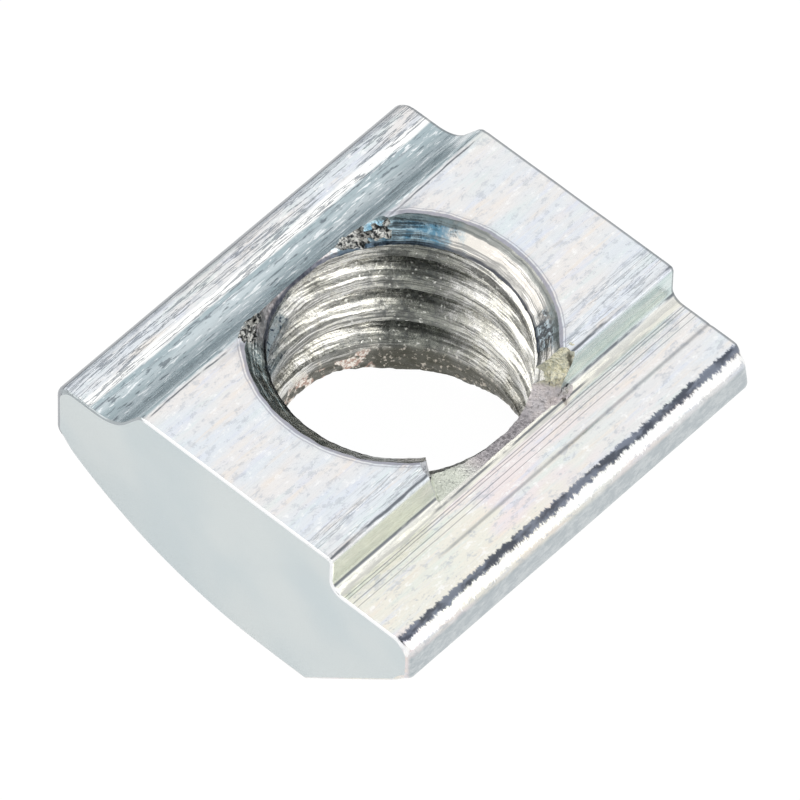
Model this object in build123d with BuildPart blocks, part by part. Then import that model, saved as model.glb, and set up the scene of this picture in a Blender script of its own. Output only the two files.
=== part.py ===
from build123d import *
import math
import os

os.makedirs("parts", exist_ok=True)

# T slot nut, one piece: drawn steel bar, sawn off, drilled and tapped.
# X runs across the drawn section, Y along the bar, +Z up through the bore.
# The origin is on the bore axis, at the height of the flat underside.

# thread, a coarse 6 mm metric one; the bore below stands at its minor diameter
thread_major = 6.0
thread_pitch = 1.0
thread_minor = thread_major - 0.93 * thread_pitch
run_in_angle = 90.0
tear_angle = 77.0
tear_ledge = 0.05

# drawn section
nut_length = 9.55
nut_width = 9.10
nut_height = 4.28
body_shift = 0.09
rib_width = 4.95
rib_height = 0.91
rib_shift = 0.16
rib_lean_angle = 53.0
side_height = 0.97
flank_angle = 42.7
swing_side_height = 1.43
flat_reach = 1.15

# edge rounding left by the drawing die and by the saw
shoulder_edge_radius = 0.40
rib_edge_radius = 0.16
rib_root_radius = 0.26
lean_root_radius = 0.45
side_edge_radius = 0.20
swing_edge_radius = 0.30
heel_edge_radius = 0.08
cut_edge_size = 0.05

# section heights and widths that follow from the sizes above
shoulder_z = nut_height - rib_height
body_right = body_shift + nut_width / 2
body_left = body_shift - nut_width / 2
rib_right = rib_shift + rib_width / 2
rib_left = rib_shift - rib_width / 2
lean_foot_x = rib_left - rib_height / math.tan(math.radians(rib_lean_angle))
side_foot_z = shoulder_z - side_height
heel_x = body_right - side_foot_z / math.tan(math.radians(flank_angle))
flat_end_x = heel_x - flat_reach

# the swing-in arc leaves the flat underside at a tangent and climbs to the foot of the left side
swing_top_z = shoulder_z - swing_side_height
swing_run = flat_end_x - body_left
swing_radius = (swing_run**2 + swing_top_z**2) / (2 * swing_top_z)
swing_half_angle = math.asin(swing_run / swing_radius) / 2
swing_mid_x = flat_end_x - swing_radius * math.sin(swing_half_angle)
swing_mid_z = swing_radius * (1 - math.cos(swing_half_angle))

# the run-in cone narrows from the major to the minor diameter
run_in_depth = (thread_major - thread_minor) / 2 / math.tan(math.radians(run_in_angle / 2))

# the thin wall between the bore and the upright side of the rib is torn out down to a ledge
tear_end_x = rib_right + rib_root_radius
tear_end_y = tear_end_x * math.tan(math.radians(tear_angle / 2))
tear_depth = rib_height - tear_ledge

with BuildPart() as nut_body:
    # drawn section: rib on top with one upright and one leaning side, two shoulders,
    # straight flank to the right, swing-in arc to the left
    with BuildSketch(Plane.XZ.offset(-nut_length / 2)):
        with BuildLine():
            Line((rib_left, nut_height), (rib_right, nut_height))
            Line((rib_right, nut_height), (rib_right, shoulder_z))
            Line((rib_right, shoulder_z), (body_right, shoulder_z))
            Line((body_right, shoulder_z), (body_right, side_foot_z))
            Line((body_right, side_foot_z), (heel_x, 0))
            Line((heel_x, 0), (flat_end_x, 0))
            ThreePointArc((flat_end_x, 0), (swing_mid_x, swing_mid_z), (body_left, swing_top_z))
            Line((body_left, swing_top_z), (body_left, shoulder_z))
            Line((body_left, shoulder_z), (lean_foot_x, shoulder_z))
            Line((lean_foot_x, shoulder_z), (rib_left, nut_height))
        make_face()
    extrude(amount=nut_length)
    lengthwise_edges = nut_body.edges().filter_by(Axis.Y)

    def drawn_edge(x, z):
        # the lengthwise edge nearest to a place in the section
        return lengthwise_edges.sort_by(lambda e: math.hypot(e.center().X - x, e.center().Z - z))[0]

    fillet([drawn_edge(rib_left, nut_height), drawn_edge(rib_right, nut_height)], rib_edge_radius)
    fillet(drawn_edge(rib_right, shoulder_z), rib_root_radius)
    fillet(drawn_edge(lean_foot_x, shoulder_z), lean_root_radius)
    fillet([drawn_edge(body_left, shoulder_z), drawn_edge(body_right, shoulder_z)], shoulder_edge_radius)
    fillet(drawn_edge(body_right, side_foot_z), side_edge_radius)
    fillet(drawn_edge(body_left, swing_top_z), swing_edge_radius)
    fillet(drawn_edge(heel_x, 0), heel_edge_radius)

    # sawn ends: the edges all round both end faces are only just broken
    end_faces = nut_body.faces().filter_by(Axis.Y).sort_by(Axis.Y)
    chamfer(end_faces[0].edges() + end_faces[-1].edges(), cut_edge_size)

    # bore at the thread's minor diameter, right through the rib and the body
    with BuildSketch(Plane.XY):
        Circle(thread_minor / 2)
    extrude(amount=nut_height, mode=Mode.SUBTRACT)

    # run-in cone: wider than the rib at its rim, it breaks out through both sides
    with BuildSketch(Plane.XY.offset(nut_height)):
        Circle(thread_major / 2)
    with BuildSketch(Plane.XY.offset(nut_height - run_in_depth)):
        Circle(thread_minor / 2)
    loft(mode=Mode.SUBTRACT)

    # torn wall: a sector about the bore axis, through the upright side of the rib
    with BuildSketch(Plane.XY.offset(nut_height)):
        with BuildLine():
            Line((0, 0), (tear_end_x, -tear_end_y))
            Line((tear_end_x, -tear_end_y), (tear_end_x, tear_end_y))
            Line((tear_end_x, tear_end_y), (0, 0))
        make_face()
    extrude(amount=-tear_depth, mode=Mode.SUBTRACT)

nut_body.part.label = "nut_body"
export_step(nut_body.part, "parts/nut_body.step")
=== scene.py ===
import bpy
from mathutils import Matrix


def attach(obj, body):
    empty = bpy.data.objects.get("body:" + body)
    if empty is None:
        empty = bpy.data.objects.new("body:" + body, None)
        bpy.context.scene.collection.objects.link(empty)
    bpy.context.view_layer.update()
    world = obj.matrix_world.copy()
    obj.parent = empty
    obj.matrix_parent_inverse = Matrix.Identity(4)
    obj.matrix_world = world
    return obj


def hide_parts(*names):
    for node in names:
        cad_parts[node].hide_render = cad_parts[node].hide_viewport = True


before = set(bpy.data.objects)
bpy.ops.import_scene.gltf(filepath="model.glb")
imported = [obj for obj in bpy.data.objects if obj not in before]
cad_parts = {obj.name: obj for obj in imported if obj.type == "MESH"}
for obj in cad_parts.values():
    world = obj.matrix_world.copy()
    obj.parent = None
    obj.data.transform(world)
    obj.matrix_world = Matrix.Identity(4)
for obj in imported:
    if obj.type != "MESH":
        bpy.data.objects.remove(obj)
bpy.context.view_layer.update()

import logging
import math
from dataclasses import dataclass, field
from enum import Enum
from typing import Any, Sequence, Union

import bmesh
import bpy
import numpy as np
from mathutils import Matrix, Vector

log = logging.getLogger("t_slot_nut")

MM = 0.001


class Zone(Enum):
    """Material places of the nut, in the order of the mesh's material slots."""

    DRAWN = 0
    SAWN = 1
    THREAD = 2
    RUN_IN = 3
    TORN = 4


# ---------------------------------------------------------------- shape helpers


def smooth_step(low: float, high: float, x: np.ndarray) -> np.ndarray:
    """Cubic ramp from 0 below low to 1 above high.

    Args:
        low: where the ramp starts.
        high: where the ramp ends.
        x: values to shape.

    Returns:
        The ramp at every value of x.
    """
    t = np.clip((x - low) / (high - low), 0.0, 1.0)
    return t * t * (3.0 - 2.0 * t)


@dataclass(frozen=True)
class Ripple:
    """Smooth seeded noise: a sum of plane waves with random headings and phases.

    The value at a point is the mean of cos(k . p + phase) over the waves, with wave
    numbers drawn between the two wavelengths.
    """

    seed: int
    longest: float
    shortest: float
    waves: int = 24
    squeeze: tuple[float, ...] = (1.0, 1.0)

    def __call__(self, *axes: np.ndarray) -> np.ndarray:
        """Evaluates the noise.

        Args:
            axes: one array for each coordinate, all of one shape.

        Returns:
            Noise of about -1 to 1, in that shape.
        """
        rng = np.random.default_rng(self.seed)
        dims = len(axes)
        heading = rng.normal(size=(self.waves, dims))
        heading /= np.linalg.norm(heading, axis=1, keepdims=True)
        length = np.exp(rng.uniform(math.log(self.shortest), math.log(self.longest), self.waves))
        k = heading * (2.0 * math.pi / length)[:, None]
        k = k * np.array((self.squeeze + (1.0,) * dims)[:dims])
        phase = rng.uniform(0.0, 2.0 * math.pi, self.waves)
        p = np.stack([np.asarray(a, float) for a in axes], axis=-1)
        return np.cos(p @ k.T + phase).sum(-1) * math.sqrt(2.0 / self.waves) * 0.7


def mesh_object(name: str, points: np.ndarray, faces: Sequence[np.ndarray],
                zones: Sequence[int]) -> bpy.types.Object:
    """Puts whole-array points and faces into a new mesh object at the origin.

    Args:
        name: name of the object.
        points: points in millimetres, one row each.
        faces: face arrays, each of one face size.
        zones: material slot of each of those arrays.

    Returns:
        The linked object, its faces turned outwards.
    """
    mesh = bpy.data.meshes.new(name)
    sizes = np.concatenate([np.full(len(f), f.shape[1]) for f in faces])
    loops = np.concatenate([f.ravel() for f in faces]).astype(np.int32)
    mesh.vertices.add(len(points))
    mesh.vertices.foreach_set("co", (points * MM).astype(np.float32).ravel())
    mesh.loops.add(len(loops))
    mesh.loops.foreach_set("vertex_index", loops)
    mesh.polygons.add(len(sizes))
    starts = np.concatenate([[0], np.cumsum(sizes)[:-1]]).astype(np.int32)
    mesh.polygons.foreach_set("loop_start", starts)
    material = np.concatenate([np.full(len(f), z) for f, z in zip(faces, zones)]).astype(np.int32)
    mesh.polygons.foreach_set("material_index", material)
    mesh.update(calc_edges=True)
    mesh.validate()
    work = bmesh.new()
    work.from_mesh(mesh)
    bmesh.ops.recalc_face_normals(work, faces=work.faces)
    work.to_mesh(mesh)
    work.free()
    obj = bpy.data.objects.new(name, mesh)
    bpy.context.scene.collection.objects.link(obj)
    return obj


def end_fan(ring: np.ndarray, hub: int) -> np.ndarray:
    """Triangles from a closed ring of point numbers to one hub point."""
    return np.stack([np.full(len(ring), hub), ring, np.roll(ring, -1)], -1)


def grid_faces(rows: int, columns: int, shift: int = 0) -> np.ndarray:
    """Quads of a grid of points numbered row by row, its last column joined to its first.

    Args:
        rows: rows of points.
        columns: points in a row.
        shift: rows by which the grid climbs when it comes round.

    Returns:
        Four point numbers for each quad.
    """
    j, i = np.meshgrid(np.arange(rows - 1), np.arange(columns), indexing="ij")
    after = (i + 1) % columns
    climb = np.where(i + 1 == columns, shift, 0)
    corners = [j * columns + i, (j + climb) * columns + after, (j + climb + 1) * columns + after,
               (j + 1) * columns + i]
    return np.stack(corners, -1)[(j + climb + 1) < rows]


# ---------------------------------------------------------------- the drawn bar


@dataclass
class DrawnBar:
    """The drawn and sawn bar, all sizes in millimetres."""

    length: float = 9.55
    width: float = 9.10
    height: float = 4.28
    shift: float = 0.09
    rib_width: float = 4.95
    rib_height: float = 0.91
    rib_shift: float = 0.16
    rib_lean: float = 53.0
    side: float = 0.97
    flank: float = 42.7
    swing_side: float = 1.43
    flat: float = 1.15
    shoulder_round: float = 0.40
    rib_round: float = 0.16
    rib_lean_round: float = 0.36
    root_round: float = 0.26
    lean_round: float = 0.90
    lean_set_in: float = 0.05
    side_round: float = 0.20
    swing_round: float = 0.30
    heel_round: float = 0.08
    cut_edge: float = 0.05
    end_round: float = 0.08
    far_corner_round: float = 0.18
    wave_depth: float = 0.006
    bead_height: float = 0.024
    bead_radius: float = 3.06
    long_line: float = 0.93
    long_line_depth: float = 0.014
    worn_depth: float = 0.07

    def __post_init__(self) -> None:
        """Works out the places in the section that follow from the sizes."""
        self.shoulder_z = self.height - self.rib_height
        self.right = self.shift + self.width / 2
        self.left = self.shift - self.width / 2
        self.rib_right = self.rib_shift + self.rib_width / 2
        self.rib_left = self.rib_shift - self.rib_width / 2 + self.lean_set_in
        self.lean_foot = self.rib_left - self.rib_height / math.tan(math.radians(self.rib_lean))
        self.side_foot = self.shoulder_z - self.side
        self.heel = self.right - self.side_foot / math.tan(math.radians(self.flank))
        self.flat_end = self.heel - self.flat
        self.swing_top = self.shoulder_z - self.swing_side
        run = self.flat_end - self.left
        self.swing_radius = (run**2 + self.swing_top**2) / (2 * self.swing_top)

    def swing_arc(self, count: int) -> np.ndarray:
        """Points of the swing-in arc, a circle that leaves the flat underside at a tangent.

        Args:
            count: number of points.

        Returns:
            Rows of x and z, from the foot of the swing side to the flat.
        """
        whole = math.asin((self.flat_end - self.left) / self.swing_radius)
        angle = np.linspace(whole, 0.0, count)
        x = self.flat_end - self.swing_radius * np.sin(angle)
        return np.stack([x, self.swing_radius * (1.0 - np.cos(angle))], -1)

    def corners(self) -> tuple[np.ndarray, np.ndarray]:
        """Corners of the section and the radius of each, anticlockwise seen from the front end.

        Returns:
            Rows of x and z, and one radius for each row.
        """
        arc = self.swing_arc(40)
        places = [
            [self.heel, 0.0], [self.right, self.side_foot], [self.right, self.shoulder_z],
            [self.rib_right, self.shoulder_z], [self.rib_right, self.height],
            [self.rib_left, self.height], [self.lean_foot, self.shoulder_z],
            [self.left, self.shoulder_z],
        ]
        radii = [
            self.heel_round, self.side_round, self.shoulder_round, self.root_round,
            self.rib_round, self.rib_lean_round, self.lean_round, self.shoulder_round,
        ]
        arc_radii = [self.swing_round] + [0.0] * (len(arc) - 1)
        return np.array(places + arc.tolist()), np.array(radii + arc_radii)

    def outline(self) -> tuple[np.ndarray, np.ndarray]:
        """The section as a closed run of points: straight runs joined by round corners.

        Returns:
            Rows of x and z, and the outward normal of each.
        """
        corner, radius = self.corners()
        before = np.roll(corner, 1, 0)
        after = np.roll(corner, -1, 0)
        to_before = (before - corner) / np.linalg.norm(before - corner, axis=1, keepdims=True)
        to_after = (after - corner) / np.linalg.norm(after - corner, axis=1, keepdims=True)
        half = np.arccos(np.clip((to_before * to_after).sum(1), -1, 1)) / 2
        reach = radius / np.tan(half)
        pieces = []
        for c, a, b, h, r, t in zip(corner, to_before, to_after, half, radius, reach):
            if r == 0.0:
                pieces.append(c[None])
                continue
            middle = (a + b) / np.linalg.norm(a + b)
            centre = c + middle * r / math.sin(h)
            start, end = c + a * t - centre, c + b * t - centre
            turn = math.pi - 2 * h
            count = max(5, int(math.ceil(turn * r / 0.028)))
            way = math.copysign(1.0, start[0] * end[1] - start[1] * end[0])
            angle = way * np.linspace(0, turn, count)
            rows = np.stack([
                start[0] * np.cos(angle) - start[1] * np.sin(angle),
                start[0] * np.sin(angle) + start[1] * np.cos(angle),
            ], -1)
            pieces.append(centre + rows)
        rough = np.concatenate(pieces)
        return self.resample(rough)

    def resample(self, rough: np.ndarray) -> tuple[np.ndarray, np.ndarray]:
        """Cuts long straight runs into short ones, finest on the rib, the shoulders and the lean.

        Args:
            rough: the section's points.

        Returns:
            The finer points and the outward normal at each.
        """
        following = np.roll(rough, -1, 0)
        span = np.linalg.norm(following - rough, axis=1)
        high = np.minimum(rough[:, 1], following[:, 1]) > self.side_foot - 0.01
        step = np.where(high, 0.036, 0.14)
        parts = np.maximum(1, np.ceil(span / step)).astype(int)
        which = np.repeat(np.arange(len(rough)), parts)
        within = np.concatenate([np.arange(n) / n for n in parts])
        points = rough[which] + (following[which] - rough[which]) * within[:, None]
        ahead = np.roll(points, -1, 0) - np.roll(points, 1, 0)
        ahead /= np.linalg.norm(ahead, axis=1, keepdims=True)
        return points, np.stack([ahead[:, 1], -ahead[:, 0]], -1)

    def die_lines(self, x: np.ndarray, y: np.ndarray) -> np.ndarray:
        """Depth of the die lines: each is a narrow bell across the section.

        Its place drifts and its depth comes and goes along the bar.

        Args:
            x: place across the section.
            y: place along the bar.

        Returns:
            Depth in millimetres.
        """
        rng = np.random.default_rng(11)
        depth = np.zeros(np.broadcast(x, y).shape)
        bands = [
            (self.left + 0.3, self.left + 0.95, 14, 0.005),
            (self.rib_left, self.rib_right, 12, 0.003),
            (self.rib_right + 0.3, self.rib_right + 0.75, 6, 0.004),
            (self.lean_foot, self.rib_left, 8, 0.004),
            (self.rib_right + 0.75, self.right - 0.4, 6, 0.003),
        ]
        for low, high, count, deepest in bands:
            for _ in range(count):
                centre = rng.uniform(low, high)
                width = rng.uniform(0.018, 0.045)
                drift = rng.uniform(-0.008, 0.008)
                phase = rng.uniform(0, 6.28)
                wave = rng.uniform(3.0, 9.0)
                there = 0.55 + 0.45 * np.sin(2 * math.pi * y / wave + phase)
                bell = np.exp(-(((x - centre - drift * y) / width) ** 2))
                depth += deepest * rng.uniform(0.4, 1.0) * there * bell
        return depth

    def relief(self, x: np.ndarray, z: np.ndarray, y: np.ndarray) -> np.ndarray:
        """Depth of the surface below the ideal section: die lines, rim bead and wear.

        One long line runs down the right shoulder. The rib's top lies a little low except
        on a bead round the run-in, and its lean edge is worn beside the bore.

        Args:
            x: place across the section.
            z: height.
            y: place along the bar.

        Returns:
            Depth in millimetres, never below 0.
        """
        depth = self.die_lines(x, y)
        line = np.exp(-(((x - self.rib_right - self.long_line - 0.004 * y) / 0.035) ** 2))
        depth += self.long_line_depth * smooth_step(-2.9, -2.4, y) * line
        on_rib = smooth_step(self.height - 0.05, self.height - 0.01, z)
        bead = np.exp(-(((np.hypot(x, y) - self.bead_radius) / 0.055) ** 2))
        bead = bead * (0.75 + 0.25 * Ripple(5, 1.5, 0.2)(x, y))
        depth += self.bead_height * on_rib * (1.0 - np.clip(bead, 0.0, 1.0))
        beside_bore = np.exp(-(((x - self.rib_left - 0.12) / 0.14) ** 2) - (np.abs(y) / 2.9) ** 6)
        depth += self.worn_depth * beside_bore * (z > self.height - 0.28)
        top = z > self.shoulder_z - 0.25
        return np.where(top, np.maximum(depth, 0.0), 0.2 * depth)

    def rows(self) -> np.ndarray:
        """Places of the grid's rows along the bar, closest beside the bore.

        Returns:
            Rising places, with both broken end edges.
        """
        half = self.length / 2
        edge = self.cut_edge
        near_bore = 3.4
        tip = np.array([0.0, 0.1, 0.35, 0.65, 1.0, 1.6, 2.4, 3.4, 4.6, 6.2]) * edge
        plain = np.linspace(near_bore, half - tip[-1], 11)[1:-1]
        beside = np.linspace(-near_bore, near_bore, 111)
        return np.concatenate([tip - half, -plain[::-1], beside, plain, half - tip[::-1]])

    def build(self) -> bpy.types.Object:
        """Makes the bar: the section carried along Y, with broken end edges and flat ends.

        Returns:
            The bar as a closed mesh.
        """
        section, normal = self.outline()
        half = self.length / 2
        y = self.rows()
        edge = half - np.abs(y)
        grid_y, grid_x = np.meshgrid(y, section[:, 0], indexing="ij")
        grid_z = np.broadcast_to(section[:, 1], grid_x.shape)
        outer_right = smooth_step(self.right - 0.45, self.right - 0.12, grid_x)
        outer_left = smooth_step(self.left + 0.45, self.left + 0.12, grid_x)
        raised = smooth_step(self.side_foot - 0.05, self.side_foot + 0.85, grid_z)
        size = self.cut_edge + self.end_round * (outer_right + outer_left)
        size += self.far_corner_round * outer_right * raised * (grid_y > 0)
        share = np.minimum(edge[:, None] / size, 1.0)
        inset = size * (1.0 - np.sqrt(np.clip(1.0 - (1.0 - share) ** 2, 0, 1)))
        wave = Ripple(3, 3.0, 0.7, squeeze=(1.0, 1.0, 0.35))
        low = 0.5 + 0.5 * wave(grid_x, grid_z, grid_y)
        sink = inset + self.relief(grid_x, grid_z, grid_y) + self.wave_depth * np.clip(low, 0, 1)
        sink = np.where((grid_z < 0.02) & (edge[:, None] > self.cut_edge), 0.0, sink)
        points = np.stack([grid_x - normal[:, 0] * sink, grid_y, grid_z - normal[:, 1] * sink], -1)
        rows, columns = grid_x.shape
        hub_x, hub_z = 0.3, 2.0
        hubs = np.array([[hub_x, -half, hub_z], [hub_x, half, hub_z]])
        first = np.arange(columns)
        fans = [end_fan(first, rows * columns), end_fan(first + (rows - 1) * columns, rows * columns + 1)]
        every = np.concatenate([points.reshape(-1, 3), hubs])
        return mesh_object("bar", every, [grid_faces(rows, columns), *fans],
                           [Zone.DRAWN.value, Zone.SAWN.value, Zone.SAWN.value])


# ---------------------------------------------------------------- the tapped bore


@dataclass
class TappedBore:
    """The tapped bore and its run-in as solids to cut away, all sizes in millimetres."""

    major: float = 6.0
    minor: float = 5.07
    pitch: float = 1.0
    crest_height: float = 3.27
    run_in_angle: float = 45.0
    top: float = 4.28
    turns_round: int = 220

    @property
    def depth(self) -> float:
        """Depth of the thread from crest to root."""
        return (self.major - self.minor) / 2

    @property
    def flank(self) -> float:
        """Length of one 60 degree thread flank along the bore."""
        return self.depth * math.tan(math.radians(30.0))

    def groove(self, phase: np.ndarray) -> np.ndarray:
        """Radius of the thread over one pitch: flat crest, 60 degree flanks, narrow root.

        Args:
            phase: place along the pitch, 0 in the middle of a crest.

        Returns:
            Radius in millimetres.
        """
        away = np.abs((phase + 0.5) % 1.0 - 0.5) * self.pitch
        crest = self.pitch / 2 - self.pitch / 16 - self.flank
        return self.minor / 2 + self.depth * np.clip((away - crest) / self.flank, 0.0, 1.0)

    def rows(self) -> tuple[np.ndarray, int]:
        """Heights of the rows at angle 0, closest together at the crest's and the root's edges.

        Returns:
            Row heights from below the nut to above it, and how many rows one pitch has.
        """
        flank = self.flank / self.pitch
        crest = 0.5 - 1 / 16 - flank
        marks = np.array([0.0, 0.35 * crest, 0.7 * crest, 0.93 * crest, crest, crest + 0.02])
        slope = np.linspace(crest + 0.06, crest + flank - 0.02, 5)
        root = np.array([crest + flank, 0.5])
        half = np.concatenate([marks, slope, root])
        offsets = np.unique(np.round(np.concatenate([half, 1.0 - half[1:-1]]), 6))
        turns = np.arange(-6, 3)
        heights = (turns[:, None] + offsets[None, :]).ravel() * self.pitch + self.crest_height
        return heights, len(offsets)

    def exit_shape(self, angle: np.ndarray, z: np.ndarray) -> np.ndarray:
        """Widening of the bore at its lower end, where the drill broke out.

        The wall leans outwards below an edge that rises on the far right side.

        Args:
            angle: direction round the bore axis.
            z: height.

        Returns:
            Radius to add, in millimetres.
        """
        degrees = np.degrees(np.mod(angle, 2 * math.pi))
        edge = 0.50 * smooth_step(115.0, 62.0, degrees) * smooth_step(2.0, 40.0, degrees)
        return 1.1 * np.maximum(edge - z, 0.0) * (edge > 0.02)

    def build_thread(self) -> bpy.types.Object:
        """Makes the threaded core: a height field of radius over angle and a climbing height.

        The rows climb one pitch in each turn, so every edge of the thread follows the grid.
        At the seam the rims step by one pitch, and each rim is closed round a point on the axis.

        Returns:
            A closed mesh, to be cut away from the bar.
        """
        heights, per_pitch = self.rows()
        angle = np.linspace(0.0, 2 * math.pi, self.turns_round, endpoint=False)
        grid_h, grid_a = np.meshgrid(heights, angle, indexing="ij")
        z = grid_h + self.pitch * grid_a / (2 * math.pi)
        radius = self.groove((grid_h - self.crest_height) / self.pitch)
        cut = smooth_step(3.84, 3.74, z) * smooth_step(0.45, 0.85, z)
        radius = self.minor / 2 + (radius - self.minor / 2) * cut
        noise_radius = 2.6
        around = noise_radius * np.cos(grid_a), noise_radius * np.sin(grid_a)
        chatter = Ripple(21, 0.9, 0.12, 40, squeeze=(1.0, 1.0, 1.6))(*around, z)
        rough = Ripple(22, 0.5, 0.14, 40)(*around, z)
        exit_zone = smooth_step(1.1, 0.2, z)
        radius = radius + chatter * 0.005 + rough * (0.006 + 0.004 * exit_zone) - 0.05 * exit_zone
        radius = radius + self.exit_shape(grid_a, z)
        points = np.stack([radius * np.cos(grid_a), radius * np.sin(grid_a), z], -1).reshape(-1, 3)
        rows, columns = grid_h.shape
        low = np.concatenate([np.arange(columns), np.arange(per_pitch, 0, -1) * columns])
        step = np.arange(rows - 2, rows - 2 - per_pitch, -1) * columns + columns - 1
        high = np.concatenate([(rows - 1) * columns + np.arange(columns), step])
        hubs = np.array([[0.0, 0.0, points[:, 2].min() - 0.5], [0.0, 0.0, points[:, 2].max() + 0.5]])
        n = len(points)
        faces = [grid_faces(rows, columns, per_pitch), end_fan(low, n), end_fan(high, n + 1)]
        return mesh_object("thread_core", np.concatenate([points, hubs]), faces, [Zone.THREAD.value] * 3)

    def build_run_in(self) -> bpy.types.Object:
        """Makes the run-in cone, turned round the bore axis with a little chatter.

        Returns:
            A closed mesh, to be cut away from the bar.
        """
        slope = math.tan(math.radians(self.run_in_angle))
        drop = np.concatenate([[-0.5, -0.25, -0.02, 0.0], np.linspace(0.04, self.depth / slope + 0.25, 18)])
        radius = np.where(drop < 0, self.major / 2 - 0.3 * drop, self.major / 2 - drop * slope)
        angle = np.linspace(0.0, 2 * math.pi, self.turns_round, endpoint=False)
        grid_d, grid_a = np.meshgrid(drop, angle, indexing="ij")
        chatter = Ripple(31, 1.2, 0.2, 30)(2.8 * np.cos(grid_a), 2.8 * np.sin(grid_a), grid_d)
        grid_r = radius[:, None] + 0.012 * chatter
        points = np.stack([grid_r * np.cos(grid_a), grid_r * np.sin(grid_a), self.top - grid_d], -1)
        points = points.reshape(-1, 3)
        rows, columns = grid_d.shape
        hubs = np.array([[0.0, 0.0, self.top + 0.5], [0.0, 0.0, self.top - drop[-1]]])
        n = len(points)
        ring = np.arange(columns)
        faces = [grid_faces(rows, columns), end_fan(ring, n), end_fan(ring + (rows - 1) * columns, n + 1)]
        return mesh_object("run_in_core", np.concatenate([points, hubs]), faces, [Zone.RUN_IN.value] * 3)


@dataclass
class ExitBurr:
    """The ragged collar that hangs round the bore's lower end on the swing-in side."""

    bar: DrawnBar
    inner: float = 2.30
    outer: float = 2.68
    top: float = 1.30
    deepest: float = 0.5

    def build(self) -> bpy.types.Object:
        """Makes the collar: a closed ring section carried round the axis.

        Its lower edge follows the swing-in arc and hangs below it by half a millimetre on
        the left, less elsewhere, with noise on every side.

        Returns:
            A closed mesh, to be joined to the bar before the bore is cut.
        """
        angle = np.linspace(0.0, 2 * math.pi, 200, endpoint=False)
        share = np.linspace(0.0, 1.0, 9)
        inside = np.stack([np.zeros(9), 1.0 - share], -1)[:-1]
        under = np.stack([share, np.zeros(9)], -1)[:-1]
        outside = np.stack([np.ones(9), share], -1)[:-1]
        over = np.stack([1.0 - share, np.ones(9)], -1)[:-1]
        run = np.concatenate([inside, under, outside, over])
        grid_a, across = np.meshgrid(angle, run[:, 0], indexing="ij")
        up = np.broadcast_to(run[:, 1], across.shape)
        degrees = np.degrees(grid_a)
        hang = self.deepest * smooth_step(95.0, 140.0, degrees) * smooth_step(262.0, 215.0, degrees)
        climb = np.maximum(self.bar.flat_end - self.outer * np.cos(grid_a), 0.0)
        arc = self.bar.swing_radius - np.sqrt(self.bar.swing_radius**2 - climb**2)
        ragged = Ripple(41, 0.7, 0.10, 40)(2.6 * np.cos(grid_a), 2.6 * np.sin(grid_a), across)
        low = np.maximum(arc - hang * (1.0 + 0.025 * ragged) + 0.03, 0.012)
        width = (self.outer - self.inner) * (0.75 + 0.25 * smooth_step(0.0, 0.2, hang))
        width = width * (1.0 + 0.04 * ragged * up)
        radius = self.inner + width * across
        z = low + (self.top - low) * up
        points = np.stack([radius * np.cos(grid_a), radius * np.sin(grid_a), z], -1).reshape(-1, 3)
        rows, columns = across.shape
        quads = grid_faces(rows, columns)
        seam = np.arange(columns)
        after = (seam + 1) % columns
        close = np.stack([seam + (rows - 1) * columns, after + (rows - 1) * columns, after, seam], -1)
        return mesh_object("burr", points, [quads, close], [Zone.TORN.value] * 2)


@dataclass(frozen=True)
class RoughBall:
    """A lumpy ball, cut away as a chip or joined on as a crumb, in millimetres."""

    place: tuple[float, float, float]
    radii: tuple[float, float, float]
    turn: float
    seed: int
    lumps: float = 0.30

    def build(self) -> bpy.types.Object:
        """Makes the ball: an ellipsoid over longitude and latitude, its radius changed by noise.

        Returns:
            A closed mesh.
        """
        rows, columns = 22, 36
        latitude = np.linspace(-math.pi / 2, math.pi / 2, rows + 2)[1:-1]
        longitude = np.linspace(0.0, 2 * math.pi, columns, endpoint=False)
        lat, lon = np.meshgrid(latitude, longitude, indexing="ij")
        unit = np.stack([np.cos(lat) * np.cos(lon), np.cos(lat) * np.sin(lon), np.sin(lat)], -1)
        unit = np.concatenate([unit.reshape(-1, 3), [[0, 0, -1], [0, 0, 1]]])
        noise = Ripple(self.seed, 1.6, 0.35, 30)(unit[:, 0], unit[:, 1], unit[:, 2])
        shape = unit * (1.0 + self.lumps * noise)[:, None] * np.array(self.radii)
        turn = math.radians(self.turn)
        x = shape[:, 0] * math.cos(turn) - shape[:, 1] * math.sin(turn)
        y = shape[:, 0] * math.sin(turn) + shape[:, 1] * math.cos(turn)
        points = np.stack([x, y, shape[:, 2]], -1) + np.array(self.place)
        ring = np.arange(columns)
        south = end_fan(ring, rows * columns)
        north = end_fan(ring + (rows - 1) * columns, rows * columns + 1)
        return mesh_object("chip", points, [grid_faces(rows, columns), south, north], [Zone.TORN.value] * 3)


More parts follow.
